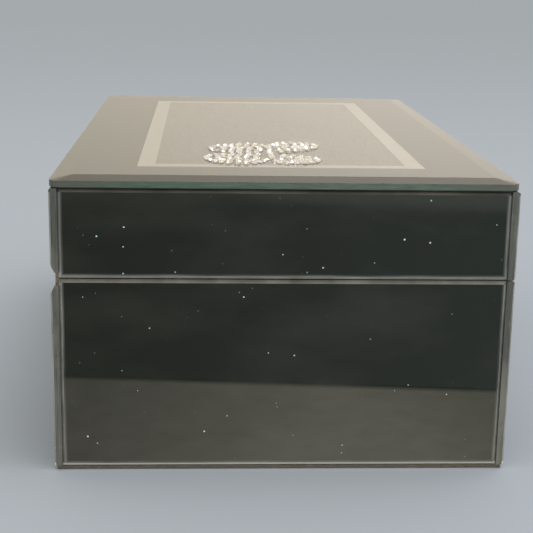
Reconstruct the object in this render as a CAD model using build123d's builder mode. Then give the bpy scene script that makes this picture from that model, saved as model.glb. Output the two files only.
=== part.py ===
"""Vanity trinket box: black glass on a board carcass, hinged lid with a bevelled glass top, velvet inside.

Millimetres, +Z up. The origin is at the centre of the underside. The short ends are the near end (-Y) and the
far end (+Y). The lid hinges along the long side at -X and opens at +X. Inside, a tray slides on two rails.
"""

import os
from math import cos, dist, pi, radians, sin

from build123d import *

# Outside of the box
WIDTH = 176.0  # X
LENGTH = 300.0  # Y
HEIGHT = 115.0  # to the top of the lid's glass, below the crystals
SPLIT_Z = 76.6  # where the lid meets the base
RIM_GAP = 0.1  # from the split to each rim

# Sheet materials
GLASS = 3.0
GLASS_JOINT = 0.2  # from the split to each panel's edge
ARRIS = 1.2  # ground edge round the outer face of an end panel
LONG_ARRIS = 0.6  # the same on a long panel
SMALL_ARRIS = 0.3
WALL = 7.0
BASE_BOARD = 5.0
LID_BOARD = 5.0
WALL_LINING = 1.2
LINING_SETBACK = 1.0  # from a rim to the lining's edge
FELT = 1.5
FELT_INSET = 1.0
GLASS_OVER_FELT = 0.2

# Top glass and the print under it
TOP_GLASS = 3.8
TOP_CORNER = 4.0
BEVEL_WIDTH = 8.0
BEVEL_DROP = 1.2
PRINT = 0.2
PRINT_INSET = 0.6
BAND_INSET = 31.0
BAND_WIDTH = 7.0

# Hinge side: the glass keeps clear of the split, and the walls have a lip there, level with the ground slopes
LID_GLASS_LIFT = 2.4
BASE_GLASS_DROP = 2.6
LIP = 1.4
SLOPE_HEIGHT = 3.2
LIP_SPACE = 0.1

# Two butt hinges with stop lips
HINGE_YS = (-85.0, 85.0)
HINGE_LENGTH = 40.0
HINGE_PLAY = 0.2
KNUCKLES = 5
KNUCKLE_GAP = 0.2
BARREL_R = 1.3
BORE_R = 0.65
PIN_R = 0.6
RELIEF_R = 1.5  # room for the barrel in the walls
PIN_OUTSIDE_LIP = 0.2
LEAF = 0.6
PLATE_START = 1.5  # from the pin's axis to the leaf's plate
STOP_INNER_R = 1.4
STOP_OUTER_R = 2.2
STOP_THICKNESS = 0.6
LID_STOP_ANGLE = 120.0  # round the pin, from +X towards +Z
BASE_STOP_ANGLE = 241.2
STOP_OVERLAP = 2.0  # how far a lid lip reaches over the next knuckle
SCREWS_PER_LEAF = 3
SCREW_PITCH = 13.0
SCREW_R = 0.9
SCREW_HEAD_R = 1.6
SCREW_LENGTH = 9.0
SCREW_PLAY = 0.05
SLOT = (2.2, 0.4, 0.3)

# Inside the base
FLOOR_LINING = 1.0
RAIL_WIDTH = 5.0
RAIL_HEIGHT = 4.0
RAIL_TOP = 48.0
DIVIDER = 3.0
WELL_DIVIDER_TOP = 43.5
WELL_CROSS_Y = -15.0

# Tray
TRAY_LENGTH = 150.0
TRAY_HEIGHT = 26.0
TRAY_WALL = 3.5
TRAY_FLOOR = 2.5
TRAY_SIDE_PLAY = 0.8
TRAY_END_PLAY = 0.6
TRAY_OVER_RAIL = 0.1
TRAY_DIVIDER_DROP = 2.0
RING_BAY = 60.0
RING_ROLLS = 6
ROLL_HEIGHT = 18.0
ROLL_ROUND = 4.6
ROLL_SPACE = 0.3

# Inside the lid
CEILING_LINING = 1.5
MIRROR = (116.0, 236.0, 2.0)
MIRROR_FRAME_WIDTH = 6.0
MIRROR_FRAME_HEIGHT = 3.2
MIRROR_FRAME_ROUND = 1.0
MIRROR_PLAY = 0.1

# Crystals: a butterfly, with two pairs of wings filled with rings of stones, and a row of stones as its body
MOTIF_CENTRE = (-3.0, -88.0)
STONE_PITCH = 3.6
STONE_SIDES = 8
STONE_RISE = 0.62  # height over radius
STONE_TAPER = 38.0
STONE_SPACE = 0.1
# One wing a line: its direction in degrees from +X, length, half width, and where it starts along the body
WINGS = (
    (129.0, 27.0, 13.8, 1.0),
    (61.0, 30.5, 10.4, 3.0),
    (218.0, 26.5, 13.6, -2.5),
    (-54.0, 21.5, 10.0, -3.0),
)
WING_START = 3.0  # from the body's axis
WING_MIDDLE = 0.56  # of a wing's length, where its rings shrink to
WING_SHOULDER = (0.55, 1.2)  # times the half width, near the body and at the wing's tip
WING_STEPS = 200  # points that a ring is measured with
# One ring of a wing a line: its size over the wing's, and its stones' radius
STONE_RINGS = ((1.0, 1.5), (0.64, 1.6), (0.3, 1.6), (0.0, 1.5))
BODY_STONES = 6
BODY_STONE_R = 1.7
BODY_START = -11.0

# Outlines and levels that follow
CARCASS_X = WIDTH / 2 - GLASS
CARCASS_Y = LENGTH / 2 - GLASS
INSIDE_X = CARCASS_X - WALL
INSIDE_Y = CARCASS_Y - WALL
LINED_X = INSIDE_X - WALL_LINING
LINED_Y = INSIDE_Y - WALL_LINING
BASE_RIM_Z = SPLIT_Z - RIM_GAP
LID_RIM_Z = SPLIT_Z + RIM_GAP
BASE_BOARD_TOP = FELT + BASE_BOARD
WELL_FLOOR_Z = BASE_BOARD_TOP + FLOOR_LINING
TOP_GLASS_Z = HEIGHT - TOP_GLASS
PRINT_Z = TOP_GLASS_Z - PRINT
LID_BOARD_Z = PRINT_Z - LID_BOARD
CEILING_Z = LID_BOARD_Z - CEILING_LINING
SIDE_GLASS_Z = FELT + GLASS_OVER_FELT
SIDE_GLASS_TOP = PRINT_Z - GLASS_OVER_FELT
LIP_X = -CARCASS_X - LIP
PIN_X = LIP_X - PIN_OUTSIDE_LIP
PLATE_END = -INSIDE_X - PIN_X
SCREW_X = PIN_X + (PLATE_START + PLATE_END) / 2 + 0.5

os.makedirs("parts", exist_ok=True)


def save(builder, name):
    """Labels a finished piece and writes its STEP file."""
    builder.part.label = name
    export_step(builder.part, f"parts/{name}.step")


def block(x_range, y_range, z_range, mode=Mode.ADD):
    """A block between the given limits, in the builder that is open."""
    middle = [(low + high) / 2 for low, high in (x_range, y_range, z_range)]
    size = [abs(high - low) for low, high in (x_range, y_range, z_range)]
    with Locations(tuple(middle)):
        Box(*size, mode=mode)


def board(name, x_range, y_range, z_range):
    """A plain board or sheet."""
    with BuildPart() as piece:
        block(x_range, y_range, z_range)
    save(piece, name)


def ring(name, outer, inner, z_range, corner=0.0):
    """A flat rectangular ring. outer and inner are half sizes in X and Y."""
    with BuildPart() as piece:
        with BuildSketch(Plane.XY.offset(z_range[0])):
            if corner:
                RectangleRounded(2 * outer[0], 2 * outer[1], corner)
            else:
                Rectangle(2 * outer[0], 2 * outer[1])
            Rectangle(2 * inner[0], 2 * inner[1], mode=Mode.SUBTRACT)
        extrude(amount=z_range[1] - z_range[0])
    save(piece, name)


# ------------------------------------------------------------------ carcass
def plain_walls(prefix, z_range):
    """The wall at the opening side, and the two end walls between the long walls."""
    board(f"{prefix}_wall_opening_side", (INSIDE_X, CARCASS_X), (-CARCASS_Y, CARCASS_Y), z_range)
    board(f"{prefix}_wall_near_end", (-INSIDE_X, INSIDE_X), (-CARCASS_Y, -INSIDE_Y), z_range)
    board(f"{prefix}_wall_far_end", (-INSIDE_X, INSIDE_X), (INSIDE_Y, CARCASS_Y), z_range)


def screw_places(hinge_y):
    """Where the screws of one leaf stand along the hinge."""
    first = hinge_y - SCREW_PITCH * (SCREWS_PER_LEAF - 1) / 2
    return [first + SCREW_PITCH * i for i in range(SCREWS_PER_LEAF)]


def hinge_wall(name, z_range, rim_z, lip_z, inward):
    """A long wall with its lip, let in for the hinges. inward is 1 or -1, from the rim into the wall."""
    seat_z = rim_z + inward * LEAF
    with BuildPart() as wall:
        block((-CARCASS_X, -INSIDE_X), (-CARCASS_Y, CARCASS_Y), z_range)
        block((LIP_X, -CARCASS_X), (-CARCASS_Y, CARCASS_Y), sorted((rim_z, lip_z)))
        for hinge_y in HINGE_YS:
            reach = HINGE_LENGTH / 2 + HINGE_PLAY
            leaf_y = (hinge_y - reach, hinge_y + reach)
            block((LIP_X, -INSIDE_X), leaf_y, sorted((rim_z, seat_z)), mode=Mode.SUBTRACT)
            with Locations(Location((PIN_X, hinge_y, SPLIT_Z), (90, 0, 0))):
                Cylinder(RELIEF_R, 2 * reach, mode=Mode.SUBTRACT)
            with Locations(*[(SCREW_X, y, rim_z + inward * SCREW_LENGTH / 2) for y in screw_places(hinge_y)]):
                Cylinder(SCREW_R + SCREW_PLAY, SCREW_LENGTH + 2 * SCREW_PLAY, mode=Mode.SUBTRACT)
    save(wall, name)


board("base_board", (-CARCASS_X, CARCASS_X), (-CARCASS_Y, CARCASS_Y), (FELT, BASE_BOARD_TOP))
board("lid_board", (-CARCASS_X, CARCASS_X), (-CARCASS_Y, CARCASS_Y), (LID_BOARD_Z, PRINT_Z))

BASE_WALL_ZS = (BASE_BOARD_TOP, BASE_RIM_Z)
LID_WALL_ZS = (LID_RIM_Z, LID_BOARD_Z)
BASE_GLASS_EDGE = SPLIT_Z - BASE_GLASS_DROP
LID_GLASS_EDGE = SPLIT_Z + LID_GLASS_LIFT
plain_walls("base", BASE_WALL_ZS)
plain_walls("lid", LID_WALL_ZS)
hinge_wall("base_wall_hinge_side", BASE_WALL_ZS, BASE_RIM_Z, BASE_GLASS_EDGE + LIP_SPACE, -1)
hinge_wall("lid_wall_hinge_side", LID_WALL_ZS, LID_RIM_Z, LID_GLASS_EDGE - LIP_SPACE, 1)

with BuildPart() as underside_felt:
    with BuildSketch():
        Rectangle(WIDTH - 2 * FELT_INSET, LENGTH - 2 * FELT_INSET)
    extrude(amount=FELT)
save(underside_felt, "underside_felt")


# ------------------------------------------------------------------ black glass
def end_glass(name, end, z_range):
    """A panel over a short end, between the long panels. end is -1 for the near end and 1 for the far end."""
    with BuildPart() as panel:
        block((-CARCASS_X, CARCASS_X), sorted((end * CARCASS_Y, end * LENGTH / 2)), z_range)
        chamfer(panel.faces().sort_by(Axis.Y)[0 if end < 0 else -1].edges(), ARRIS)
    save(panel, name)


def opening_glass(name, z_range):
    """A panel over the long side at which the box opens."""
    with BuildPart() as panel:
        block((CARCASS_X, WIDTH / 2), (-LENGTH / 2, LENGTH / 2), z_range)
        chamfer(panel.faces().sort_by(Axis.X)[-1].edges(), LONG_ARRIS)
    save(panel, name)


def hinge_glass(name, far_z, edge_z):
    """A panel over the hinge's side. Its edge at edge_z, beside the hinge, is ground to a long slope."""
    outward = 1 if edge_z > far_z else -1
    outer_x = -WIDTH / 2
    with BuildPart() as panel:
        with BuildSketch(Plane.XZ.offset(-LENGTH / 2)):
            with BuildLine():
                Polyline(
                    (outer_x + LIP + PIN_OUTSIDE_LIP, edge_z),
                    (-CARCASS_X, edge_z),
                    (-CARCASS_X, far_z),
                    (outer_x, far_z),
                    (outer_x, edge_z - outward * SLOPE_HEIGHT),
                    close=True,
                )
            make_face()
        extrude(amount=LENGTH)
        outer_face = panel.faces().sort_by(Axis.X)[0]
        ground = [e for e in outer_face.edges() if abs(e.center().Z - edge_z) > SLOPE_HEIGHT + SMALL_ARRIS]
        chamfer(ground, LONG_ARRIS)
    save(panel, name)


BASE_GLASS_ZS = (SIDE_GLASS_Z, SPLIT_Z - GLASS_JOINT)
LID_GLASS_ZS = (SPLIT_Z + GLASS_JOINT, SIDE_GLASS_TOP)
for body, glass_zs in (("base", BASE_GLASS_ZS), ("lid", LID_GLASS_ZS)):
    end_glass(f"{body}_glass_near_end", -1, glass_zs)
    end_glass(f"{body}_glass_far_end", 1, glass_zs)
    opening_glass(f"{body}_glass_opening_side", glass_zs)
hinge_glass("base_glass_hinge_side", SIDE_GLASS_Z, BASE_GLASS_EDGE)
hinge_glass("lid_glass_hinge_side", SIDE_GLASS_TOP, LID_GLASS_EDGE)

# ------------------------------------------------------------------ top glass and its print
with BuildPart() as lid_top_glass:
    with BuildSketch(Plane.XY.offset(TOP_GLASS_Z)):
        RectangleRounded(WIDTH, LENGTH, TOP_CORNER)
    extrude(amount=TOP_GLASS - BEVEL_DROP)
    with BuildSketch(Plane.XY.offset(HEIGHT - BEVEL_DROP)) as bevel_foot:
        RectangleRounded(WIDTH, LENGTH, TOP_CORNER)
    with BuildSketch(Plane.XY.offset(HEIGHT)) as bevel_head:
        RectangleRounded(WIDTH - 2 * BEVEL_WIDTH, LENGTH - 2 * BEVEL_WIDTH, TOP_CORNER / 4)
    loft()
    chamfer(lid_top_glass.faces().sort_by(Axis.Z)[0].edges(), SMALL_ARRIS)
save(lid_top_glass, "lid_top_glass")

BAND_OUTER = (WIDTH / 2 - BAND_INSET, LENGTH / 2 - BAND_INSET)
BAND_INNER = (BAND_OUTER[0] - BAND_WIDTH, BAND_OUTER[1] - BAND_WIDTH)
PRINT_OUTER = (WIDTH / 2 - PRINT_INSET, LENGTH / 2 - PRINT_INSET)
PRINT_ZS = (PRINT_Z, TOP_GLASS_Z)
ring("top_border_print", PRINT_OUTER, BAND_OUTER, PRINT_ZS, TOP_CORNER - PRINT_INSET)
ring("top_silver_band", BAND_OUTER, BAND_INNER, PRINT_ZS)
board("top_glitter_panel", (-BAND_INNER[0], BAND_INNER[0]), (-BAND_INNER[1], BAND_INNER[1]), PRINT_ZS)


# ------------------------------------------------------------------ crystals
def wing_point(wing, size, turn):
    """A point on one ring of a wing, from the motif's centre. turn goes from 0 to 1 round the ring."""
    angle, length, half_width, root = wing
    out = (1 - cos(2 * pi * turn)) / 2
    along = WING_START + length * (WING_MIDDLE + (out - WING_MIDDLE) * size)
    near, far = WING_SHOULDER
    across = half_width * sin(2 * pi * turn) * (near + (far - near) * out) * size
    c, s = cos(radians(angle)), sin(radians(angle))
    return along * c - across * s, root + along * s + across * c


def ring_places(wing, size):
    """Places a pitch apart round one ring of a wing."""
    points = [wing_point(wing, size, step / WING_STEPS) for step in range(WING_STEPS + 1)]
    walked = [0.0]
    for point, following in zip(points, points[1:]):
        walked.append(walked[-1] + dist(point, following))
    count = max(1, int(walked[-1] / STONE_PITCH))
    stops = [walked[-1] * i / count for i in range(count)]
    return [points[min(i for i, far in enumerate(walked) if far >= stop)] for stop in stops]


def stones():
    """Each stone's place and radius. A stone that would touch one before it is left out."""
    body = [((0.0, BODY_START + STONE_PITCH * i), BODY_STONE_R) for i in range(BODY_STONES)]
    wings = [
        (place, radius)
        for wing in WINGS
        for size, radius in STONE_RINGS
        for place in ring_places(wing, size)
    ]
    kept = []
    for place, radius in body + wings:
        if all(dist(place, other) > radius + other_r + STONE_SPACE for other, other_r in kept):
            kept.append((place, radius))
    return kept


with BuildPart() as crystal_motif:
    placed = stones()
    for stone_r in sorted({radius for _, radius in placed}):
        alike = [place for place, radius in placed if radius == stone_r]
        with BuildSketch(Plane.XY.offset(HEIGHT)):
            with Locations(*[(MOTIF_CENTRE[0] + x, MOTIF_CENTRE[1] + y) for x, y in alike]):
                RegularPolygon(stone_r, STONE_SIDES)
        extrude(amount=stone_r * STONE_RISE, taper=STONE_TAPER)
save(crystal_motif, "crystal_motif")


# ------------------------------------------------------------------ hinges
def pin_plane(hinge_y, along):
    """A sketch plane across the pin, at a distance along it. The sketch's x is +X and its y is -Z."""
    start = (PIN_X, hinge_y - HINGE_LENGTH / 2 + along, SPLIT_Z)
    return Plane(origin=start, x_dir=(1, 0, 0), z_dir=(0, 1, 0))


def stop_lip(angle):
    """A lip's section, standing out from the barrel at an angle from +X towards +Z."""
    with Locations(Location((0, 0, 0), (0, 0, -angle))):
        with Locations(((STOP_INNER_R + STOP_OUTER_R) / 2, 0)):
            Rectangle(STOP_OUTER_R - STOP_INNER_R, STOP_THICKNESS)


def leaf_plate(side):
    """A leaf's plate, in section: side is 1 in the lid and -1 in the base."""
    with Locations(((PLATE_START + PLATE_END) / 2, -side * (RIM_GAP + LEAF / 2))):
        Rectangle(PLATE_END - PLATE_START, LEAF)


def knuckle(side, angle):
    """A knuckle in section, with its neck to the plate and its stop lip's root."""
    Circle(BARREL_R)
    with Locations(((BARREL_R + PLATE_START) / 2, -side * (RIM_GAP + LEAF / 2))):
        Rectangle(PLATE_START - BORE_R, LEAF)
    with Locations(Location((0, 0, 0), (0, 0, -angle))):
        with Locations(((BORE_R + STOP_OUTER_R) / 2, 0)):
            Rectangle(STOP_OUTER_R - BORE_R, STOP_THICKNESS)
    Circle(BORE_R, mode=Mode.SUBTRACT)


def hinge_leaf(name, hinge_y, side, first):
    """One leaf: side is 1 in the lid and -1 in the base, and first is its first knuckle's number."""
    pitch = HINGE_LENGTH / KNUCKLES
    angle = LID_STOP_ANGLE if side > 0 else BASE_STOP_ANGLE
    rim_z = SPLIT_Z + side * RIM_GAP
    head_r, shank_r = SCREW_HEAD_R + SCREW_PLAY, SCREW_R + SCREW_PLAY
    with BuildPart() as leaf:
        with BuildSketch(pin_plane(hinge_y, 0)):
            leaf_plate(side)
        extrude(amount=HINGE_LENGTH)
        for number in range(first, KNUCKLES, 2):
            start = number * pitch + KNUCKLE_GAP / 2
            with BuildSketch(pin_plane(hinge_y, start)):
                knuckle(side, angle)
            extrude(amount=pitch - KNUCKLE_GAP)
            if side > 0:
                with BuildSketch(pin_plane(hinge_y, start - STOP_OVERLAP)):
                    stop_lip(angle)
                extrude(amount=pitch - KNUCKLE_GAP + 2 * STOP_OVERLAP)
        with Locations(*[(SCREW_X, y, rim_z + side * LEAF / 2) for y in screw_places(hinge_y)]):
            if side > 0:
                Cone(head_r, shank_r, LEAF, mode=Mode.SUBTRACT)
            else:
                Cone(shank_r, head_r, LEAF, mode=Mode.SUBTRACT)
    save(leaf, name)


def leaf_screws(name, side):
    """All the countersunk screws of one side's leaves."""
    rim_z = SPLIT_Z + side * RIM_GAP
    shank = SCREW_LENGTH - LEAF
    places = [y for hinge_y in HINGE_YS for y in screw_places(hinge_y)]
    with BuildPart() as screws:
        with Locations(*[(SCREW_X, y, rim_z + side * (LEAF + shank / 2)) for y in places]):
            Cylinder(SCREW_R, shank)
        with Locations(*[(SCREW_X, y, rim_z + side * LEAF / 2) for y in places]):
            if side > 0:
                Cone(SCREW_HEAD_R, SCREW_R, LEAF)
            else:
                Cone(SCREW_R, SCREW_HEAD_R, LEAF)
        with Locations(*[(SCREW_X, y, rim_z + side * SLOT[2] / 2) for y in places]):
            Box(*SLOT, mode=Mode.SUBTRACT)
    save(screws, name)


for hinge_name, hinge_place in zip(("near_hinge", "far_hinge"), HINGE_YS):
    hinge_leaf(f"{hinge_name}_base_leaf", hinge_place, -1, 0)
    hinge_leaf(f"{hinge_name}_lid_leaf", hinge_place, 1, 1)
    with BuildPart() as hinge_pin:
        with BuildSketch(pin_plane(hinge_place, 0)):
            Circle(PIN_R)
        extrude(amount=HINGE_LENGTH)
    save(hinge_pin, f"{hinge_name}_pin")
leaf_screws("base_leaf_screws", -1)
leaf_screws("lid_leaf_screws", 1)

# ------------------------------------------------------------------ inside the base
board("base_floor_lining", (-INSIDE_X, INSIDE_X), (-INSIDE_Y, INSIDE_Y), (BASE_BOARD_TOP, WELL_FLOOR_Z))
ring(
    "base_wall_lining",
    (INSIDE_X, INSIDE_Y),
    (LINED_X, LINED_Y),
    (WELL_FLOOR_Z, BASE_RIM_Z - LINING_SETBACK),
)

RAIL_ZS = (RAIL_TOP - RAIL_HEIGHT, RAIL_TOP)
board("tray_rail_hinge_side", (-LINED_X, -LINED_X + RAIL_WIDTH), (-LINED_Y, LINED_Y), RAIL_ZS)
board("tray_rail_opening_side", (LINED_X - RAIL_WIDTH, LINED_X), (-LINED_Y, LINED_Y), RAIL_ZS)

WELL_DIVIDER_ZS = (WELL_FLOOR_Z, WELL_DIVIDER_TOP)
WELL_CROSS_YS = (WELL_CROSS_Y - DIVIDER / 2, WELL_CROSS_Y + DIVIDER / 2)
board("well_divider_cross", (-LINED_X, LINED_X), WELL_CROSS_YS, WELL_DIVIDER_ZS)
board("well_divider_long", (-DIVIDER / 2, DIVIDER / 2), (WELL_CROSS_YS[1], LINED_Y), WELL_DIVIDER_ZS)

# ------------------------------------------------------------------ tray
TRAY_X = LINED_X - TRAY_SIDE_PLAY
TRAY_FAR_Y = LINED_Y - TRAY_END_PLAY
TRAY_NEAR_Y = TRAY_FAR_Y - TRAY_LENGTH
TRAY_Z = RAIL_TOP + TRAY_OVER_RAIL
TRAY_FLOOR_TOP = TRAY_Z + TRAY_FLOOR
TRAY_TOP = TRAY_Z + TRAY_HEIGHT
BAY_X = TRAY_X - TRAY_WALL
BAY_FAR_Y = TRAY_FAR_Y - TRAY_WALL
BAY_NEAR_Y = TRAY_NEAR_Y + TRAY_WALL
RING_BAY_Y = BAY_FAR_Y - RING_BAY
POCKET_FAR_Y = RING_BAY_Y - DIVIDER
POCKET_WIDTH = (2 * BAY_X - 2 * DIVIDER) / 3
POCKET_X = POCKET_WIDTH / 2
TRAY_WALL_ZS = (TRAY_FLOOR_TOP, TRAY_TOP)
TRAY_DIVIDER_ZS = (TRAY_FLOOR_TOP, TRAY_TOP - TRAY_DIVIDER_DROP)
POCKET_YS = (BAY_NEAR_Y, POCKET_FAR_Y)

board("tray_floor", (-TRAY_X, TRAY_X), (TRAY_NEAR_Y, TRAY_FAR_Y), (TRAY_Z, TRAY_FLOOR_TOP))
board("tray_wall_hinge_side", (-TRAY_X, -BAY_X), (TRAY_NEAR_Y, TRAY_FAR_Y), TRAY_WALL_ZS)
board("tray_wall_opening_side", (BAY_X, TRAY_X), (TRAY_NEAR_Y, TRAY_FAR_Y), TRAY_WALL_ZS)
board("tray_wall_near_end", (-BAY_X, BAY_X), (TRAY_NEAR_Y, BAY_NEAR_Y), TRAY_WALL_ZS)
board("tray_wall_far_end", (-BAY_X, BAY_X), (BAY_FAR_Y, TRAY_FAR_Y), TRAY_WALL_ZS)
board("tray_divider_cross", (-BAY_X, BAY_X), (POCKET_FAR_Y, RING_BAY_Y), TRAY_DIVIDER_ZS)
board("tray_divider_hinge_side", (-POCKET_X - DIVIDER, -POCKET_X), POCKET_YS, TRAY_DIVIDER_ZS)
board("tray_divider_opening_side", (POCKET_X, POCKET_X + DIVIDER), POCKET_YS, TRAY_DIVIDER_ZS)

LINING_ZS = (TRAY_FLOOR_TOP, TRAY_FLOOR_TOP + FLOOR_LINING)
with BuildPart() as tray_floor_lining:
    block((-BAY_X, BAY_X), (RING_BAY_Y, BAY_FAR_Y), LINING_ZS)
    block((-BAY_X, -POCKET_X - DIVIDER), POCKET_YS, LINING_ZS)
    block((-POCKET_X, POCKET_X), POCKET_YS, LINING_ZS)
    block((POCKET_X + DIVIDER, BAY_X), POCKET_YS, LINING_ZS)
save(tray_floor_lining, "tray_floor_lining")

ROLL_PITCH = RING_BAY / RING_ROLLS
for roll_number in range(RING_ROLLS):
    roll_y = RING_BAY_Y + ROLL_PITCH * (roll_number + 0.5)
    with BuildPart() as ring_roll:
        with BuildSketch(Plane.YZ.offset(-BAY_X + ROLL_SPACE)):
            with Locations((roll_y, LINING_ZS[1] + ROLL_HEIGHT / 2)):
                section = Rectangle(ROLL_PITCH - ROLL_SPACE, ROLL_HEIGHT)
            fillet(section.vertices().group_by(Axis.Z)[-1], ROLL_ROUND)
        extrude(amount=2 * (BAY_X - ROLL_SPACE))
    save(ring_roll, f"ring_roll_{roll_number + 1}")

# ------------------------------------------------------------------ inside the lid
board("lid_ceiling_lining", (-INSIDE_X, INSIDE_X), (-INSIDE_Y, INSIDE_Y), (CEILING_Z, LID_BOARD_Z))
ring(
    "lid_wall_lining",
    (INSIDE_X, INSIDE_Y),
    (LINED_X, LINED_Y),
    (LID_RIM_Z + LINING_SETBACK, CEILING_Z),
)
MIRROR_X, MIRROR_Y = MIRROR[0] / 2, MIRROR[1] / 2
board("lid_mirror", (-MIRROR_X, MIRROR_X), (-MIRROR_Y, MIRROR_Y), (CEILING_Z - MIRROR[2], CEILING_Z))
FRAME_INNER = (MIRROR_X + MIRROR_PLAY, MIRROR_Y + MIRROR_PLAY)
with BuildPart() as mirror_frame:
    with BuildSketch(Plane.XY.offset(CEILING_Z - MIRROR_FRAME_HEIGHT)):
        Rectangle(2 * (FRAME_INNER[0] + MIRROR_FRAME_WIDTH), 2 * (FRAME_INNER[1] + MIRROR_FRAME_WIDTH))
        Rectangle(2 * FRAME_INNER[0], 2 * FRAME_INNER[1], mode=Mode.SUBTRACT)
    extrude(amount=MIRROR_FRAME_HEIGHT)
    fillet(mirror_frame.faces().sort_by(Axis.Z)[0].edges(), MIRROR_FRAME_ROUND)
save(mirror_frame, "mirror_frame")
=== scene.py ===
import math
import random

import bmesh
import bpy
import numpy as np
from mathutils import Matrix, Vector, noise


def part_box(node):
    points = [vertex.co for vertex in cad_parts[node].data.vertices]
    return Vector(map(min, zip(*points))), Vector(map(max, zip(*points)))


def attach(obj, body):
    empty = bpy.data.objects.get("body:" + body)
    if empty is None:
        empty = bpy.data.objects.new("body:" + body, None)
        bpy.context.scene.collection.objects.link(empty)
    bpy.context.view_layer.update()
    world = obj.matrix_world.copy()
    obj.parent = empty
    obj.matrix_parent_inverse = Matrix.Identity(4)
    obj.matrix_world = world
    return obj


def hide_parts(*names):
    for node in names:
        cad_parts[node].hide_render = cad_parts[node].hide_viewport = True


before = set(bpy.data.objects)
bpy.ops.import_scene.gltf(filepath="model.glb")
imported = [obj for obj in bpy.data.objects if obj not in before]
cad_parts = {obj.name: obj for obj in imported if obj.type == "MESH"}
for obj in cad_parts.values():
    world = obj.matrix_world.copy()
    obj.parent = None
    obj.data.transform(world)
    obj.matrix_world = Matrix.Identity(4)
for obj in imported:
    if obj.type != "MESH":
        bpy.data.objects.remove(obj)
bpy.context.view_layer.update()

MM = 0.001
scene = bpy.context.scene

# The near end of the box is -Y, the hinge side -X, and everything below is in metres.
# HAIR keeps two faces from lying in one plane where light passes between them.
HAIR = 0.04 * MM
BACKDROP = (0.387, 0.413, 0.429)
# The end panels' ground arrises are END_ARRIS wide, and the frosting fades out over MARGIN inside them.
END_ARRIS = 1.2 * MM
MARGIN = 0.9 * MM
# A black glass panel's face is flat where more than FLAT of its normal lies along the panel's thickness,
# a cut edge where UPRIGHT or less does, and a ground arris in between.
FLAT = 0.97
UPRIGHT = 0.2
STONE_SEED = 7
ROLL_COUNT = 6


# ---------------------------------------------------------------- node helpers


class Nodes:
    """Short calls for the nodes of one tree, a material's or the world's."""

    def __init__(self, tree):
        self.tree = tree

    def add(self, kind, sockets=(), **settings):
        """A node of this kind, with its settings, its sockets set to a value or linked."""
        node = self.tree.nodes.new(kind)
        for key, value in settings.items():
            setattr(node, key, value)
        for key, value in dict(sockets).items():
            self.put(node, key, value)
        return node

    def put(self, node, key, value):
        if isinstance(value, bpy.types.NodeSocket):
            self.tree.links.new(value, node.inputs[key])
        elif isinstance(value, tuple) and node.inputs[key].type == "RGBA":
            node.inputs[key].default_value = (*value, 1.0)
        else:
            node.inputs[key].default_value = value

    def math(self, operation, a, b=0.0):
        return self.add("ShaderNodeMath", {0: a, 1: b}, operation=operation).outputs[0]

    def span(self, value, low, high, start=0.0, end=1.0, **settings):
        """value mapped from low..high to start..end, held at both ends."""
        sockets = {"Value": value, "From Min": low, "From Max": high, "To Min": start, "To Max": end}
        return self.add("ShaderNodeMapRange", sockets, **settings).outputs["Result"]

    def mix(self, share, a, b):
        """Colour a where share is 0 and b where it is 1."""
        return self.add("ShaderNodeMix", {0: share, 6: a, 7: b}, data_type="RGBA").outputs[2]

    def scaled(self, colour, level):
        """The colour made level times as strong, which may be more than 1."""
        sockets = {0: colour, "Scale": level}
        return self.add("ShaderNodeVectorMath", sockets, operation="SCALE").outputs[0]


class Finish(Nodes):
    """One material: its Principled shader, and short calls for what varies over its surface."""

    def __init__(self, name):
        self.material = bpy.data.materials.new(name)
        self.material.use_nodes = True
        super().__init__(self.material.node_tree)
        self.surface = self.tree.nodes["Principled BSDF"]
        self.place = self.add("ShaderNodeTexCoord").outputs["Object"]

    def set(self, **sockets):
        """Sets or links the Principled sockets; Base_Color stands for "Base Color"."""
        for key, value in sockets.items():
            self.put(self.surface, key.replace("_", " "), value)

    def noise(self, size, detail=3.0, stretch=(1.0, 1.0, 1.0)):
        """Soft noise from 0 to 1 with features about size across, drawn out by stretch."""
        squeeze = tuple(1.0 / (size * s) for s in stretch)
        spread = self.add("ShaderNodeVectorMath", {0: self.place, 1: squeeze}, operation="MULTIPLY")
        sockets = {"Vector": spread.outputs[0], "Scale": 1.0, "Detail": detail}
        return self.add("ShaderNodeTexNoise", sockets).outputs[0]

    def cells(self, size):
        """Voronoi cells about size across: (distance to the middle in cell sizes, random colour)."""
        made = self.add("ShaderNodeTexVoronoi", {"Vector": self.place, "Scale": 1.0 / size})
        return made.outputs["Distance"], made.outputs["Color"]

    def axes(self):
        return self.add("ShaderNodeSeparateXYZ", {0: self.place}).outputs

    def bump(self, height, depth, strength=1.0):
        """Raises the surface by height times depth, in metres."""
        sockets = {"Height": height, "Distance": depth, "Strength": strength}
        self.set(Normal=self.add("ShaderNodeBump", sockets).outputs[0])


# ------------------------------------------------------------------- materials


def frosted_margin(f, panel):
    """How frosted a panel's face is: a patchy margin inside its ground sides and foot, 0 elsewhere."""
    low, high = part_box(panel)
    across = 0 if panel.endswith("_end") else 1
    axes = f.axes()
    left = f.math("SUBTRACT", axes[across], low[across])
    right = f.math("SUBTRACT", high[across], axes[across])
    inward = f.math("MINIMUM", f.math("MINIMUM", left, right), f.math("SUBTRACT", axes[2], low.z))
    patchy = f.span(f.noise(26 * MM, 4.0), 0.35, 0.65, 0.25, 1.0)
    return f.math("MULTIPLY", f.span(inward, END_ARRIS, END_ARRIS + MARGIN, 0.9, 0.0), patchy)


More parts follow.
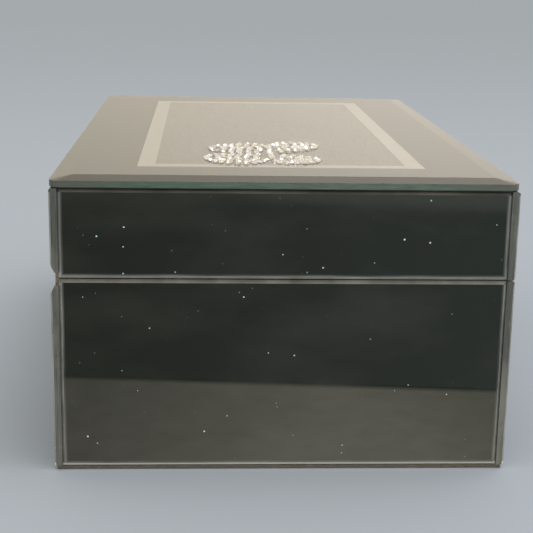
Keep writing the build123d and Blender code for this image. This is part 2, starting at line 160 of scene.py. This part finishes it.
def black_glass(panel):
    """Back-painted black glass: flakes under the face, and dust, haze and a frosted margin on it."""
    f = Finish(panel)
    distance, tint = f.cells(5.0 * MM)
    dim = f.add("ShaderNodeSeparateColor", {0: tint}).outputs
    bright = f.math("POWER", dim[0], 3.0)
    flake = f.math("LESS_THAN", distance, f.span(bright, 0.0, 1.0, 0.05, 0.075))
    cool = f.mix(dim[1], (0.95, 0.82, 1.0), (0.6, 1.0, 1.0))
    level = f.span(bright, 0.0, 0.8, 0.05, 1.0)
    glow = f.scaled(cool, level)
    haze = f.span(f.noise(45 * MM, 5.0, (1.0, 1.0, 0.45)), 0.45, 0.8)
    ground = f.mix(haze, (0.0135, 0.0185, 0.0165), (0.034, 0.039, 0.036))
    speckle, _ = f.cells(1.1 * MM)
    dust = f.math("MULTIPLY", f.math("LESS_THAN", speckle, 0.07), haze)
    dusty = f.mix(f.math("MULTIPLY", dust, 0.10), ground, (0.6, 0.58, 0.52))
    frost = frosted_margin(f, panel)
    f.set(Base_Color=f.mix(frost, f.mix(flake, dusty, glow), (0.20, 0.21, 0.215)))
    f.set(Roughness=f.math("MAXIMUM", f.span(haze, 0.0, 1.0, 0.03, 0.07), f.math("MULTIPLY", frost, 0.5)))
    f.set(IOR=1.5)
    f.bump(f.noise(60 * MM, 1.0), 0.02 * MM, 0.25)
    return f.material


def ground_edge():
    """The ground arrises along a panel: frosted, streaked and chipped, with pale patches that are partly
    wear and partly painted highlight, painted light at the foot and the lid's lip, and painted shade at
    the base's rim and under the top plate.
    """
    f = Finish("ground_edge")
    height = f.axes()[2]
    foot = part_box("base_glass_near_end")[0].z
    split = (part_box("base_glass_near_end")[1].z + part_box("lid_glass_near_end")[0].z) / 2
    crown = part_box("lid_glass_near_end")[1].z
    # The bands by height are painted light and shade: a paler foot, a darker base's rim and a paler lid's
    # lip at the split, and a darker lid's crown under the top plate.
    painted_light_foot = f.math("LESS_THAN", height, foot + END_ARRIS)
    above = f.math("SUBTRACT", height, split)
    near_split = f.math("LESS_THAN", f.math("ABSOLUTE", above), 1.3 * END_ARRIS)
    painted_light_lip = f.math("MULTIPLY", f.math("GREATER_THAN", above, 0.0), near_split)
    painted_shade_rim = f.math("MULTIPLY", f.math("LESS_THAN", above, 0.0), near_split)
    painted_shade_crown = f.math("GREATER_THAN", height, crown - END_ARRIS)
    streak = f.span(f.noise(0.6 * MM, 4.0, (18.0, 18.0, 18.0)), 0.3, 0.7)
    grit = f.noise(0.35 * MM, 4.0)
    wear_and_glint_noise = f.noise(22 * MM, 4.0)
    body = f.mix(streak, (0.18, 0.195, 0.20), (0.34, 0.36, 0.365))
    # Pale patches along the arris: partly wear, partly a painted highlight.
    worn_and_glinting = f.mix(f.span(wear_and_glint_noise, 0.5, 0.75, 0.0, 0.7), body, (0.46, 0.475, 0.47))
    chips = f.span(f.noise(0.8 * MM, 2.0), 0.70, 0.73)
    look = f.mix(chips, worn_and_glinting, (0.82, 0.83, 0.82))
    # Painted light and shade by height: the foot and the lid's lip are made paler, the base's rim darker.
    look = f.mix(painted_light_foot, look, (0.80, 0.79, 0.76))
    look = f.mix(painted_light_lip, look, f.mix(streak, (0.26, 0.27, 0.26), (0.40, 0.41, 0.395)))
    look = f.mix(painted_shade_rim, look, f.mix(streak, (0.10, 0.105, 0.10), (0.22, 0.225, 0.215)))
    # Painted shadow on the crown under the top plate, mottled in patches.
    painted_shadow_under_top = f.mix(f.span(wear_and_glint_noise, 0.4, 0.7), (0.03, 0.033, 0.032), (0.09, 0.09, 0.085))
    f.set(Base_Color=f.mix(painted_shade_crown, look, painted_shadow_under_top))
    f.set(Roughness=f.span(grit, 0.3, 0.7, 0.38, 0.6))
    f.bump(grit, 0.04 * MM, 0.6)
    return f.material


def side_edge():
    """The narrow cut edges of the black glass panels: grey-green, half polished, lightly lined."""
    f = Finish("side_edge")
    lines = f.noise(0.7 * MM, 3.0, (1.0, 1.0, 30.0))
    patch = f.noise(14 * MM, 4.0, (1.0, 1.0, 2.0))
    body = f.mix(f.span(lines, 0.3, 0.7), (0.068, 0.079, 0.075), (0.138, 0.150, 0.143))
    f.set(Base_Color=f.mix(f.span(patch, 0.5, 0.8), body, (0.22, 0.23, 0.215)))
    f.set(Roughness=f.span(patch, 0.3, 0.7, 0.16, 0.34))
    f.bump(lines, 0.02 * MM, 0.5)
    return f.material


def clear_glass():
    """The top plate's clear face and bevel, with slight smears that only roughen it."""
    f = Finish("clear_glass")
    smear = f.noise(38 * MM, 5.0, (1.0, 1.8, 1.0))
    f.set(Base_Color=(0.955, 0.985, 0.965), IOR=1.5)
    f.set(Transmission_Weight=1.0, Roughness=f.span(smear, 0.2, 0.9, 0.02, 0.045))
    f.bump(f.noise(70 * MM, 1.0), 0.02 * MM, 0.2)
    return f.material


def green_edge():
    """The top plate's outer edge: bottle green in the middle of an end, greyer towards the long sides."""
    f = Finish("green_edge")
    along = f.noise(9 * MM, 4.0)
    fine = f.noise(0.5 * MM, 3.0, (14.0, 14.0, 1.0))
    deep = f.mix(f.span(along, 0.3, 0.7), (0.060, 0.108, 0.090), (0.100, 0.158, 0.132))
    lined = f.mix(f.span(fine, 0.35, 0.75), deep, (0.14, 0.2, 0.165))
    corner = f.span(f.math("ABSOLUTE", f.axes()[0]), 0.050, 0.085)
    f.set(Base_Color=f.mix(f.math("MULTIPLY", corner, 0.8), lined, (0.105, 0.118, 0.108)))
    f.set(Roughness=f.span(along, 0.3, 0.7, 0.08, 0.2), IOR=1.5)
    f.bump(fine, 0.015 * MM, 0.4)
    return f.material


def lacquer_look(f):
    """(colour, roughness) of the black lacquer border."""
    cloud = f.noise(25 * MM, 4.0)
    colour = f.mix(f.span(cloud, 0.35, 0.7), (0.012, 0.013, 0.012), (0.022, 0.022, 0.019))
    return colour, f.span(cloud, 0.3, 0.7, 0.32, 0.42)


def foil_look(f):
    """(colour, roughness) of the silver foil band: fine grain with a little cloudiness."""
    grain = f.noise(0.3 * MM, 3.0)
    cloud = f.noise(16 * MM, 3.0)
    colour = f.mix(f.span(grain, 0.3, 0.7), (0.61, 0.583, 0.565), (0.83, 0.80, 0.77))
    shaded = f.mix(f.span(cloud, 0.4, 0.8, 0.0, 0.25), colour, (0.55, 0.524, 0.50))
    return shaded, f.span(grain, 0.3, 0.7, 0.4, 0.6)


def glitter_look(f):
    """(colour, roughness) of the grey glitter panel: grains of many tones, some bright."""
    _, tint = f.cells(0.42 * MM)
    tone = f.add("ShaderNodeSeparateColor", {0: tint}).outputs[0]
    cloud = f.noise(30 * MM, 4.0, (1.0, 1.6, 1.0))
    grain = f.mix(f.math("POWER", tone, 1.6), (0.113, 0.101, 0.099), (0.556, 0.494, 0.480))
    colour = f.mix(f.span(cloud, 0.35, 0.7, 0.0, 0.55), grain, (0.28, 0.253, 0.244))
    return colour, f.span(tone, 0.0, 1.0, 0.6, 0.3)


def print_sheet(name, look, metal, depth):
    """A printed layer under the top glass, uneven by depth."""
    f = Finish(name)
    colour, roughness = look(f)
    f.set(Base_Color=colour, Roughness=roughness, Metallic=metal)
    f.bump(f.noise(0.4 * MM, 2.0), depth, 0.5)
    return f.material


def glass_back():
    """The back of the top plate where the prints are bonded to it: only trapped dust shows."""
    f = Finish("glass_back")
    speck, _ = f.cells(7.0 * MM)
    f.set(Base_Color=f.mix(f.noise(0.3 * MM), (0.5, 0.49, 0.45), (0.8, 0.78, 0.72)))
    f.set(Alpha=f.math("LESS_THAN", speck, 0.02), Roughness=0.8)
    return f.material


def velvet(name, body, nap, pile):
    """Short pile: dark body, a sheen at grazing angles, and the nap brushed lighter in patches."""
    f = Finish(name)
    brushed = f.noise(24 * MM, 4.0, (1.0, 1.7, 1.0))
    tuft = f.noise(pile, 3.0)
    ground = f.mix(f.span(brushed, 0.35, 0.7), body, nap)
    f.set(Base_Color=f.mix(f.span(tuft, 0.35, 0.75), ground, tuple(2.2 * c for c in nap)))
    f.set(Roughness=f.span(tuft, 0.3, 0.7, 0.85, 1.0))
    f.set(Sheen_Weight=0.55, Sheen_Roughness=0.35, Sheen_Tint=(0.55, 0.55, 0.6))
    f.set(Specular_IOR_Level=0.2)
    f.bump(tuft, 0.25 * MM, 0.7)
    return f.material


def felt():
    """Pressed felt under the base: matted fibres in several directions."""
    f = Finish("felt")
    one = f.noise(0.5 * MM, 4.0, (9.0, 1.0, 1.0))
    two = f.noise(0.5 * MM, 4.0, (1.0, 9.0, 1.0))
    fibres = f.math("MAXIMUM", one, two)
    f.set(Base_Color=f.mix(f.span(fibres, 0.4, 0.8), (0.08, 0.074, 0.061), (0.23, 0.215, 0.18)))
    f.set(Roughness=f.span(fibres, 0.3, 0.8, 1.0, 0.85))
    f.bump(fibres, 0.2 * MM, 0.8)
    return f.material


def fibreboard():
    """Fine fibreboard: short fibres, darker specks, olive-beige."""
    f = Finish("board")
    fibres = f.noise(0.9 * MM, 5.0, (6.0, 6.0, 1.0))
    cloud = f.noise(18 * MM, 3.0)
    body = f.mix(f.span(fibres, 0.3, 0.7), (0.24, 0.205, 0.145), (0.40, 0.35, 0.26))
    tinted = f.mix(f.span(cloud, 0.4, 0.75, 0.0, 0.5), body, (0.25, 0.225, 0.165))
    specks, _ = f.cells(1.3 * MM)
    f.set(Base_Color=f.mix(f.math("LESS_THAN", specks, 0.14), tinted, (0.12, 0.095, 0.06)))
    f.set(Roughness=f.span(fibres, 0.3, 0.7, 0.65, 0.85))
    f.bump(fibres, 0.08 * MM, 0.6)
    return f.material


def hinge_brass():
    """Satin brass with drawn lines along the barrel and a little tarnish."""
    f = Finish("hinge_metal")
    lines = f.noise(0.25 * MM, 3.0, (1.0, 30.0, 1.0))
    stain = f.noise(5 * MM, 4.0)
    clean = f.mix(f.span(lines, 0.3, 0.7), (0.60, 0.44, 0.20), (0.78, 0.62, 0.33))
    f.set(Base_Color=f.mix(f.span(stain, 0.55, 0.8), clean, (0.33, 0.24, 0.12)), Metallic=1.0)
    f.set(Roughness=f.span(stain, 0.35, 0.75, 0.26, 0.48))
    f.bump(lines, 0.01 * MM, 0.4)
    return f.material


def mirror():
    """Silvered glass with faint wipe marks."""
    f = Finish("mirror")
    wipes = f.noise(30 * MM, 5.0, (2.5, 1.0, 1.0))
    f.set(Base_Color=f.mix(f.span(wipes, 0.4, 0.8), (0.86, 0.885, 0.87), (0.80, 0.82, 0.805)))
    f.set(Metallic=1.0, Roughness=f.span(wipes, 0.45, 0.8, 0.01, 0.07))
    return f.material


def crystal():
    """Cut glass: clear and strongly refracting, some stones brighter than others, with the odd scuff."""
    f = Finish("crystal")
    scuff = f.noise(1.2 * MM, 4.0)
    stone = f.add("ShaderNodeNewGeometry").outputs["Random Per Island"]
    f.set(Base_Color=f.mix(stone, (0.86, 0.84, 0.81), (1.0, 1.0, 1.0)), IOR=1.7)
    f.set(Transmission_Weight=0.70, Roughness=f.span(scuff, 0.6, 0.85, 0.0, 0.12))
    return f.material


GROUND_EDGE = ground_edge()
SIDE_EDGE = side_edge()
CLEAR_GLASS = clear_glass()
GREEN_EDGE = green_edge()
GLASS_BACK = glass_back()
VELVET = velvet("velvet", (0.010, 0.010, 0.012), (0.020, 0.020, 0.023), 0.45 * MM)
ROLL_VELVET = velvet("roll_velvet", (0.012, 0.012, 0.014), (0.026, 0.026, 0.029), 0.4 * MM)
CRYSTAL = crystal()

# The finish of each material slot in the record. Black glass panels get theirs face by face.
FINISHES = {
    "felt": felt(),
    "board": fibreboard(),
    "border_print": print_sheet("border_print", lacquer_look, 0.0, 0.002 * MM),
    "silver_print": print_sheet("silver_print", foil_look, 0.6, 0.01 * MM),
    "glitter_print": print_sheet("glitter_print", glitter_look, 0.2, 0.01 * MM),
    "mirror": mirror(),
    "velvet": VELVET,
    "roll_velvet": ROLL_VELVET,
    "flocked_board": velvet("flocked_board", (0.013, 0.013, 0.015), (0.022, 0.022, 0.025), 0.3 * MM),
    "hinge_metal": hinge_brass(),
    "clear_glass": CLEAR_GLASS,
    "crystal": CRYSTAL,
}


# ------------------------------------------------- finishes on the CAD's nodes


def cover(obj, materials, choose=None):
    """Gives the object these materials; choose(face) says which of them each face takes."""
    obj.data.materials.clear()
    for material in materials:
        obj.data.materials.append(material)
    for face in obj.data.polygons:
        face.material_index = choose(face) if choose else 0


def panel_face(axis):
    """Sorts a panel's faces: 0 the flat face, 1 the ground arrises, 2 the cut edge."""

    def choose(face):
        facing = abs(face.normal[axis])
        if facing > FLAT:
            return 0
        return 1 if facing > UPRIGHT else 2

    return choose


def top_glass_face(face):
    """0 the clear top and bevel, 1 the green outer edge, 2 the back with the prints."""
    level = 0.9
    if face.normal.z > level:
        return 0
    return 2 if face.normal.z < -level else 1


def round_edges(node):
    """Takes the hard corner off a covered board, on top of its unchanged mesh."""
    weld = node.modifiers.new("weld", "WELD")
    weld.merge_threshold = 0.001 * MM
    bevel = node.modifiers.new("round_edges", "BEVEL")
    bevel.width = 0.35 * MM
    bevel.segments = 2
    bevel.limit_method = "ANGLE"
    bevel.angle_limit = math.radians(40.0)
    bevel.harden_normals = True


def finish_nodes():
    for name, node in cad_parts.items():
        slot = node.data.materials[0].name
        if slot == "flocked_board":
            round_edges(node)
        if slot == "black_glass":
            axis = 1 if name.endswith("_end") else 0
            cover(node, [black_glass(name), GROUND_EDGE, SIDE_EDGE], panel_face(axis))
        else:
            cover(node, [FINISHES[slot]])


# ------------------------------------------------------------ pieces made here


def new_object(name, bm):
    mesh = bpy.data.meshes.new(name)
    bm.to_mesh(mesh)
    bm.free()
    obj = bpy.data.objects.new(name, mesh)
    scene.collection.objects.link(obj)
    return obj


def shade_smooth(obj):
    for face in obj.data.polygons:
        face.use_smooth = True


def top_glass_plate():
    """The bevelled plate, its back lifted a hair off the prints, so that light gets between."""
    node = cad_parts["lid_top_glass"]
    plate = bpy.data.objects.new("top_glass_plate", node.data.copy())
    scene.collection.objects.link(plate)
    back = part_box("lid_top_glass")[0].z
    for vert in plate.data.vertices:
        if vert.co.z < back + HAIR:
            vert.co.z = back + HAIR
    cover(plate, [CLEAR_GLASS, GREEN_EDGE, GLASS_BACK], top_glass_face)
    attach(plate, "lid")
    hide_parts("lid_top_glass")


def separate_solids(name):
    """(lowest corner, highest corner) of each separate solid in a CAD node."""
    bm = bmesh.new()
    bm.from_mesh(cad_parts[name].data)
    bmesh.ops.remove_doubles(bm, verts=bm.verts, dist=1e-6)
    waiting = set(bm.verts)
    boxes = []
    while waiting:
        reached = [waiting.pop()]
        for vert in reached:
            for edge in vert.link_edges:
                other = edge.other_vert(vert)
                if other in waiting:
                    waiting.remove(other)
                    reached.append(other)
        points = np.array([v.co for v in reached])
        boxes.append((Vector(points.min(0)), Vector(points.max(0))))
    bm.free()
    return sorted(boxes, key=lambda b: (round(b[0].y, 5), round(b[0].x, 5)))


def add_stone(bm, foot, radius, height, turn):
    """A flat-backed cut stone: table, eight star and eight kite facets, sixteen lower facets."""
    table_radius, belt_radius, belt_height, girdle = 0.5, 0.82, 0.515, 0.06

    def ring(count, reach, level, offset=0.0):
        points = []
        for i in range(count):
            angle = turn + offset + math.tau * i / count
            arm = Vector((math.cos(angle), math.sin(angle), 0.0)) * reach * radius
            points.append(bm.verts.new(foot + arm + Vector((0.0, 0.0, level * height))))
        return points

    back = ring(16, 1.0, 0.0)
    rim = ring(16, 1.0, girdle)
    belt = ring(8, belt_radius, belt_height, math.pi / 8)
    table = ring(8, table_radius, 1.0)
    bm.faces.new(table)
    bm.faces.new(back[::-1])
    for i in range(8):
        after = (i + 1) % 8
        corner = rim[2 * i]
        halfway = rim[2 * i + 1]
        bm.faces.new((table[i], belt[i], table[after]))
        bm.faces.new((table[i], belt[i - 1], corner, belt[i]))
        bm.faces.new((belt[i], corner, halfway))
        bm.faces.new((belt[i], halfway, rim[(2 * i + 2) % 16]))
    for i in range(16):
        after = (i + 1) % 16
        bm.faces.new((back[i], back[after], rim[after], rim[i]))


def crystal_stones():
    """The butterfly's stones, each a clear cut crystal, where the CAD has a plain stud."""
    rng = random.Random(STONE_SEED)
    bm = bmesh.new()
    for low, high in separate_solids("crystal_motif"):
        foot = Vector(((low.x + high.x) / 2, (low.y + high.y) / 2, low.z + HAIR))
        add_stone(bm, foot, (high.x - low.x) / 2, high.z - foot.z, rng.uniform(0.0, math.tau))
    bmesh.ops.recalc_face_normals(bm, faces=bm.faces)
    stones = new_object("crystal_stones", bm)
    stones.data.materials.append(CRYSTAL)
    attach(stones, "lid")
    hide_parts("crystal_motif")


def wavering(point, seed, size, depth):
    """A small smooth push in each direction, the same for the same point and seed."""
    spot = point / size + Vector((17.3 * seed, -9.1 * seed, 5.7 * seed))
    return noise.noise_vector(spot) * depth


def connected_faces(faces):
    """These faces and all that they reach over shared edges."""
    found = set(faces)
    todo = list(faces)
    while todo:
        for edge in todo.pop().edges:
            for face in edge.link_faces:
                if face not in found:
                    found.add(face)
                    todo.append(face)
    return found


def cut_across(bm, slab, spot, normal):
    """Cuts the slab's faces along a plane, and returns them with the new ones."""
    slab = {f for f in slab if f.is_valid}
    edges = list({e for f in slab for e in f.edges})
    verts = list({v for f in slab for v in f.verts})
    cut = bmesh.ops.bisect_plane(bm, geom=list(slab) + edges + verts, plane_co=spot, plane_no=normal)
    return slab | {g for g in cut["geom"] if isinstance(g, bmesh.types.BMFace)}


def add_slab(bm, low, high, cell, rounding, seed):
    """A covered card: rounded edges, flat sides cut into cells, and a barely uneven surface."""
    made = bmesh.ops.create_cube(bm, size=1.0)["verts"]
    for vert in made:
        vert.co = Vector(low[i] + (vert.co[i] + 0.5) * (high[i] - low[i]) for i in range(3))
    edges = list({e for v in made for e in v.link_edges})
    round_off = min(rounding, 0.45 * min(high - low))
    sides = bmesh.ops.bevel(
        bm, geom=made + edges, offset=round_off, segments=3, profile=0.5, affect="EDGES"
    )["faces"]
    slab = connected_faces(sides)
    for axis in range(3):
        count = max(int((high[axis] - low[axis]) / cell), 1)
        for step in range(1, count):
            spot = Vector((0.0, 0.0, 0.0))
            spot[axis] = low[axis] + (high[axis] - low[axis]) * step / count
            normal = Vector((0.0, 0.0, 0.0))
            normal[axis] = 1.0
            slab = cut_across(bm, slab, spot, normal)
    for vert in {v for f in slab if f.is_valid for v in f.verts}:
        vert.co += wavering(vert.co, seed, 14 * MM, 0.12 * MM)


def lined_ring(box, thickness):
    """The four cards of a wall lining, inside the box: two long ones, two between them."""
    low, high = box
    inner_low, inner_high = low.y + thickness, high.y - thickness
    return [
        (low, Vector((low.x + thickness, high.y, high.z))),
        (Vector((high.x - thickness, low.y, low.z)), high),
        (Vector((low.x + thickness, low.y, low.z)), Vector((high.x - thickness, inner_low, high.z))),
        (Vector((low.x + thickness, inner_high, low.z)), Vector((high.x - thickness, high.y, high.z))),
    ]


def lining(node, name, cards, body):
    """One lining as velvet-covered cards with rounded edges, in place of the CAD's plain ones."""
    bm = bmesh.new()
    cell, rounding = 9 * MM, 0.5 * MM
    for number, (low, high) in enumerate(cards):
        add_slab(bm, low, high, cell, rounding, number + len(name))
    obj = new_object(name, bm)
    shade_smooth(obj)
    obj.data.materials.append(VELVET)
    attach(obj, body)
    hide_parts(node)


def linings():
    thickness = 1.2 * MM
    for part in ("base", "lid"):
        walls = lined_ring(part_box(f"{part}_wall_lining"), thickness)
        lining(f"{part}_wall_lining", f"{part}_wall_velvet", walls, part)
    lining("base_floor_lining", "base_floor_velvet", [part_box("base_floor_lining")], "base")
    lining("lid_ceiling_lining", "lid_ceiling_velvet", [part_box("lid_ceiling_lining")], "lid")
    lining("tray_floor_lining", "tray_floor_velvet", separate_solids("tray_floor_lining"), "tray")


# Cloth is simulated SIM_SCALE times larger, where Blender's cloth settings are at home, and moves a
# point by at most PUFF. A roll starts SLACK slimmer on each side than the room that it has, and ends
# CLEARANCE or more inside it.
SIM_SCALE = 20.0
SIM_FRAMES = 20
PUFF = 1.3 * MM
SLACK = 0.55 * MM
CLEARANCE = 0.02 * MM


def roll_start(name, low, high, seed):
    """A roll before it is stuffed: a slimmer bar with a domed top, slightly uneven."""
    _, width, height = high - low
    foot_gap, top_gap, end_gap = 0.3 * MM, 0.4 * MM, 0.6 * MM
    slim = 0.5 * width - SLACK
    middle = (low.y + high.y) / 2
    dome = height - top_gap - slim
    outline = [(-slim, foot_gap), (slim, foot_gap)]
    for step in range(9):
        angle = math.pi * step / 8
        outline.append((slim * math.cos(angle), dome + slim * math.sin(angle)))
    bm = bmesh.new()
    ends = []
    for x in (low.x + end_gap, high.x - end_gap):
        ends.append([bm.verts.new((x, middle + y, low.z + z)) for y, z in outline])
    bm.faces.new(ends[0][::-1])
    bm.faces.new(ends[1])
    for i in range(len(outline)):
        after = (i + 1) % len(outline)
        bm.faces.new((ends[0][i], ends[0][after], ends[1][after], ends[1][i]))
    bmesh.ops.recalc_face_normals(bm, faces=bm.faces)
    obj = new_object(name, bm)
    remesh = obj.modifiers.new("remesh", "REMESH")
    remesh.mode = "VOXEL"
    remesh.voxel_size = 1.5 * MM
    fine = bpy.data.meshes.new_from_object(obj.evaluated_get(bpy.context.evaluated_depsgraph_get()))
    obj.modifiers.clear()
    obj.data = fine
    for vert in fine.vertices:
        vert.co += wavering(vert.co, seed, 9 * MM, 0.35 * MM)
    return obj


def cloth_on(obj, low):
    """Puts cloth on a roll, scaled up, glued down along its foot."""
    glued = obj.vertex_groups.new(name="glued")
    foot = low.z + 2.0 * MM
    glued.add([v.index for v in obj.data.vertices if v.co.z < foot], 1.0, "REPLACE")
    obj.data.transform(Matrix.Scale(SIM_SCALE, 4))
    cloth = obj.modifiers.new("cloth", "CLOTH")
    cloth.settings.quality = 6
    cloth.settings.mass = 0.15
    cloth.settings.tension_stiffness = 18.0
    cloth.settings.compression_stiffness = 18.0
    cloth.settings.shear_stiffness = 6.0
    cloth.settings.bending_stiffness = 0.4
    cloth.settings.shrink_min = -0.05
    cloth.settings.use_pressure = True
    cloth.settings.uniform_pressure_force = 6.0
    cloth.settings.vertex_group_mass = "glued"
    cloth.settings.effector_weights.gravity = 0.0
    cloth.point_cache.frame_start = 1
    cloth.point_cache.frame_end = SIM_FRAMES


def settle(obj, low, high):
    """Keeps the simulated shape, back at its own size, inside the room that the CAD gives it."""
    start = np.array([v.co for v in obj.data.vertices]) / SIM_SCALE
    shaped = bpy.data.meshes.new_from_object(obj.evaluated_get(bpy.context.evaluated_depsgraph_get()))
    puffed = np.array([v.co for v in shaped.vertices]) / SIM_SCALE
    push = puffed - start
    far = np.linalg.norm(push, axis=1, keepdims=True)
    puffed = start + push * np.minimum(1.0, PUFF / np.maximum(far, 1e-9))
    puffed = np.clip(puffed, np.array(low) + CLEARANCE, np.array(high) - CLEARANCE)
    obj.modifiers.clear()
    for vert, place in zip(obj.data.vertices, puffed):
        vert.co = place
    shade_smooth(obj)
    smooth = obj.modifiers.new("smooth", "SUBSURF")
    smooth.levels = smooth.render_levels = 1


def ring_rolls():
    """Six stuffed velvet rolls, side by side, that hold rings between them."""
    rolls = []
    for number in range(1, ROLL_COUNT + 1):
        low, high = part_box(f"ring_roll_{number}")
        roll = roll_start(f"velvet_roll_{number}", low, high, number)
        rolls.append((roll, low, high))
    for roll, low, _ in rolls:
        cloth_on(roll, low)
    for step in range(1, SIM_FRAMES + 1):
        scene.frame_set(step)
    for roll, low, high in rolls:
        settle(roll, low, high)
    scene.frame_set(1)
    for number, (roll, _, _) in enumerate(rolls, 1):
        roll.data.materials.append(ROLL_VELVET)
        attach(roll, "tray")
        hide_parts(f"ring_roll_{number}")


finish_nodes()
top_glass_plate()
crystal_stones()
linings()
ring_rolls()


# ----------------------------------------------------- camera, lights and floor


def aimed(name, data, place, target):
    obj = bpy.data.objects.new(name, data)
    scene.collection.objects.link(obj)
    obj.location = place
    obj.rotation_euler = (Vector(target) - Vector(place)).to_track_quat("-Z", "Y").to_euler()
    return obj


def camera():
    """Off the near end, a little left of the middle, looking slightly down on the lid."""
    yaw, pitch, roll = math.radians(3.07), math.radians(13.7), math.radians(1.02)
    forward = Vector((math.sin(yaw) * math.cos(pitch), math.cos(yaw) * math.cos(pitch), -math.sin(pitch)))
    level = Vector((math.cos(yaw), -math.sin(yaw), 0.0))
    upright = level.cross(forward)
    right = math.cos(roll) * level + math.sin(roll) * upright
    up = math.cos(roll) * upright - math.sin(roll) * level
    data = bpy.data.cameras.new("camera")
    data.lens = 83.15
    data.sensor_width = 36.0
    data.clip_end = 100.0
    obj = bpy.data.objects.new("camera", data)
    scene.collection.objects.link(obj)
    turn = Matrix((right, up, -forward)).transposed()
    obj.matrix_world = Matrix.Translation((-0.0312, -0.5992, 0.1915)) @ turn.to_4x4()
    scene.camera = obj


def room():
    """A bright warm room, dimmer to the left, and below the horizon pale skirting and a dark floor."""
    world = bpy.data.worlds.new("room")
    world.use_nodes = True
    scene.world = world
    world.node_tree.nodes.clear()
    n = Nodes(world.node_tree)

    def smooth(value, low, high, start, end):
        return n.span(value, low, high, start, end, interpolation_type="SMOOTHSTEP")

    way = n.add("ShaderNodeSeparateXYZ", {0: n.add("ShaderNodeTexCoord").outputs["Generated"]}).outputs
    to_right = smooth(way["X"], -0.16, 0.20, 0.0, 1.0)
    upper = n.mix(to_right, (0.80, 0.735, 0.60), (1.04, 0.955, 0.82))
    above = n.scaled(upper, smooth(way["Z"], 0.05, 0.18, 0.87, 1.0))
    pale = smooth(way["Z"], -0.190, -0.181, 0.0, 0.8)
    skirting = n.math("MULTIPLY", pale, smooth(way["X"], 0.0, 0.12, 0.25, 1.0))
    dark = n.mix(smooth(way["X"], -0.12, 0.24, 0.0, 1.0), (0.20, 0.185, 0.15), (0.37, 0.405, 0.365))
    below = n.mix(skirting, dark, (0.95, 0.93, 0.86))
    shade = n.mix(smooth(way["Z"], -0.09, 0.03, 0.0, 1.0), below, above)
    seen = n.add("ShaderNodeLightPath").outputs["Is Camera Ray"]
    glow = n.add("ShaderNodeBackground", {"Color": n.mix(seen, shade, BACKDROP)})
    n.add("ShaderNodeOutputWorld", {"Surface": glow.outputs[0]})


def lamps():
    """A large soft box overhead, and four small lamps that only the crystals glint in."""
    soft = bpy.data.lights.new("soft_box", "AREA")
    soft.shape = "RECTANGLE"
    soft.size, soft.size_y = 1.4, 1.0
    soft.energy = 10.0
    soft.color = (1.0, 0.93, 0.84)
    aimed("soft_box", soft, (0.25, -0.35, 1.7), (0.0, 0.0, 0.1)).visible_glossy = False
    glittering = bpy.data.collections.new("glittering")
    glittering.objects.link(bpy.data.objects["crystal_stones"])
    places = ((-0.25, 0.05, 1.25), (0.3, 0.3, 1.2), (0.05, -0.35, 1.3), (0.45, -0.25, 1.0))
    for i, place in enumerate(places):
        lamp = bpy.data.lights.new(f"glint_{i}", "AREA")
        lamp.shape = "DISK"
        lamp.size = 0.14
        lamp.energy = 3.5
        lamp.color = (1.0, 0.98, 0.94)
        glint = aimed(f"glint_{i}", lamp, place, (0.0, -0.08, 0.116))
        glint.visible_diffuse = False
        glint.light_linking.receiver_collection = glittering


def floor():
    """A flat square of pale floor, finely mottled, that the glass does not mirror."""
    reach = 14.0
    colour = (0.410, 0.476, 0.592)
    bm = bmesh.new()
    corners = [(-reach, -reach), (reach, -reach), (reach, reach), (-reach, reach)]
    bm.faces.new([bm.verts.new((x, y, 0.0)) for x, y in corners])
    plane = new_object("floor", bm)
    f = Finish("floor")
    darker = tuple(0.985 * c for c in colour)
    f.set(Base_Color=f.mix(f.noise(0.25, 3.0), darker, colour), Roughness=1.0, Specular_IOR_Level=0.0)
    plane.data.materials.append(f.material)
    plane.visible_glossy = False


def table_card():
    """A glowing card, seen only in the glass, that stands in for the lit table top as a painted
    reflection: it ends a hand's width off the near end.
    """
    left, right = -0.45, 0.17
    slant, middle = 0.0956, -0.2545
    lift = 0.1 * MM
    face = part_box("base_glass_near_end")[0].y
    bm = bmesh.new()
    near_edge = [(x, middle + slant * x) for x in (left, right)]
    outline = near_edge + [(right, face), (left, face)]
    bm.faces.new([bm.verts.new((x, y, lift)) for x, y in outline])
    card = new_object("table_card", bm)
    f = Finish("table_card")
    x, y, _ = f.axes()
    along_edge = f.math("ADD", f.math("MULTIPLY", x, slant), middle)
    inward = f.math("SUBTRACT", y, along_edge)
    # Painted light on the table top: brighter to the right and dimmer towards its edges. The card glows
    # though it is no lamp.
    lit = f.mix(f.span(x, -0.085, 0.030), (1.12, 1.02, 0.86), (2.06, 1.97, 1.60))
    level = f.span(x, 0.060, 0.100, 1.0, 0.78)
    for factor in (
        f.span(inward, 0.0, 0.14, 0.86, 1.08),
        f.span(x, 0.125, right, 1.0, 0.0),
        f.span(inward, 0.0, 0.007),
        f.span(f.noise(0.012, 3.0), 0.3, 0.7, 0.93, 1.07),
    ):
        level = f.math("MULTIPLY", level, factor)
    f.set(Base_Color=(0.0, 0.0, 0.0), Specular_IOR_Level=0.0)
    f.set(Emission_Color=f.scaled(lit, level), Emission_Strength=1.0)
    card.data.materials.append(f.material)
    for ray in ("camera", "diffuse", "transmission", "volume_scatter", "shadow"):
        setattr(card, f"visible_{ray}", False)


camera()
room()
lamps()
floor()
table_card()
scene.view_settings.view_transform = "Standard"
